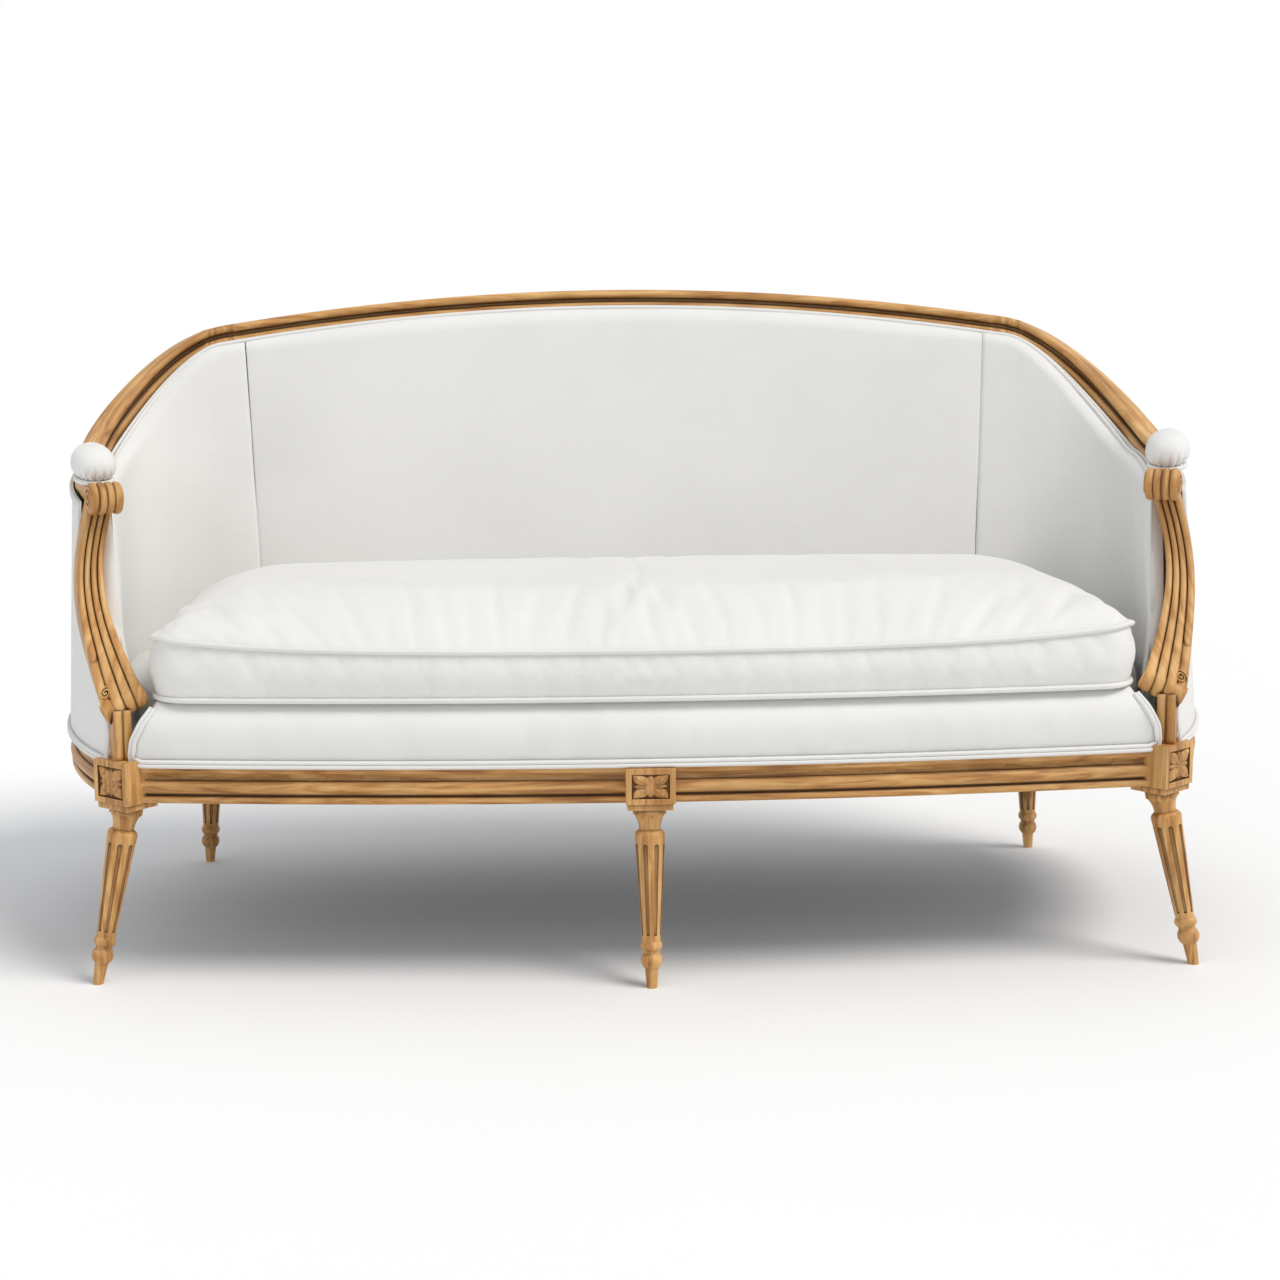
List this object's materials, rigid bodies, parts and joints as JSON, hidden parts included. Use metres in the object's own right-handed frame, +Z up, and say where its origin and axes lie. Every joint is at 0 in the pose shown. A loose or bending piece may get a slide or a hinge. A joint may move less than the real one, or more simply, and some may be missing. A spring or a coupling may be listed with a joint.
{
  "type": "carved sofa",
  "caption": "Bowed basket-shaped sofa with a carved wood frame, fluted splayed legs, moulded rails, reeded arm supports, a stuffed back and arms, and a loose seat cushion.",
  "frame": {"origin": "on the floor, under the middle of the bounding box", "axes": "+X to the sofa's right as seen from the front, along its length; +Y from front to back; +Z up"},
  "size_m": [1.752, 0.8757, 0.9622],
  "materials": {
    "carved_wood": "worn, waxed",
    "plain_wood": "raw",
    "linen": "off-white woven linen",
    "webbing": "woven jute",
    "hessian": "coarse woven",
    "dust_cloth": "matt black"
  },
  "bodies": {
    "frame": {"arm_pad_left": "linen", "arm_pad_right": "linen", "arm_rail_left": "carved_wood", "arm_rail_right": "carved_wood", "arm_support_left": "carved_wood", "arm_support_right": "carved_wood", "back_tack_rail": "plain_wood", "back_webbing": "webbing", "corner_blocks": "plain_wood", "crest_rail": "carved_wood", "dust_cover": "dust_cloth", "frame_dowels": "plain_wood", "front_leg_left": "carved_wood", "front_leg_middle": "carved_wood", "front_leg_right": "carved_wood", "front_rail_left": "carved_wood", "front_rail_right": "carved_wood", "inside_back": "linen", "inside_wing_left": "linen", "inside_wing_right": "linen", "outside_back": "linen", "outside_back_welt": "linen", "outside_wing_left": "linen", "outside_wing_right": "linen", "outside_wing_welt_left": "linen", "outside_wing_welt_right": "linen", "rear_rail": "plain_wood", "rear_stile_left": "carved_wood", "rear_stile_right": "carved_wood", "seat_brace": "plain_wood", "seat_deck": "linen", "seat_hessian": "hessian", "seat_webbing_crosswise": "webbing", "seat_webbing_lengthwise": "webbing", "seat_welt": "linen", "side_rail_left": "carved_wood", "side_rail_right": "carved_wood", "side_tack_rail_left": "plain_wood", "side_tack_rail_right": "plain_wood"},
    "cushion": {"seat_cushion": "linen", "cushion_welt_top": "linen", "cushion_welt_bottom": "linen"}
  },
  "joints": [
    {"name": "seat_cushion_lift", "type": "slide", "parent": "frame", "child": "cushion", "axis": [0, 0, 1], "range_m": [0, 0.6]}
  ]
}
